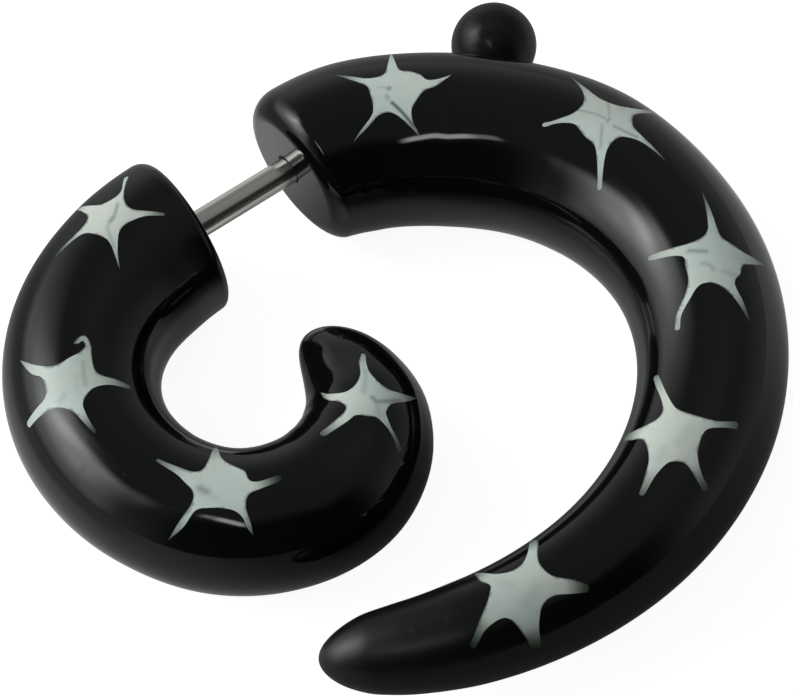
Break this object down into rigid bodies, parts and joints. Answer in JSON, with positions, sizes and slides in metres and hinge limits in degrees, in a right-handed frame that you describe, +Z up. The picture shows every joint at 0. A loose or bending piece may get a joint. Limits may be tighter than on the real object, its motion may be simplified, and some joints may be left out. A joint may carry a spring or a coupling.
{
  "type": "faux spiral plug earring",
  "caption": "Faux spiral plug earring: a clubbed front curl and a tapering back curl in black acrylic, joined through the ear lobe by a slim steel post with a screw ball.",
  "frame": {"origin": "on the surface that the earring rests on, below the middle of its overall box", "axes": "+X along the post from the front curl to the back curl, +Z up, square to the plane of the spiral, so the earring lies flat on its side and both curls bend towards -Y"},
  "size_m": [0.034, 0.0328, 0.0081],
  "materials": {
    "black_acrylic": "polished, with pale painted stars on the curls",
    "polished_steel": "polished"
  },
  "bodies": {
    "front": {"front_curl": "black_acrylic", "post": "polished_steel"},
    "ball": {"screw_ball": "black_acrylic"},
    "back": {"back_curl": "black_acrylic"}
  },
  "joints": [
    {"name": "swivel", "type": "hinge", "parent": "front", "child": "ball", "pos_m": [0.01325, 0.0125, 0.00404], "axis": [1, 0, 0], "continuous": true},
    {"name": "back_slide", "type": "slide", "parent": "ball", "child": "back", "axis": [1, 0, 0], "range_m": [-0.0055, 0]}
  ]
}
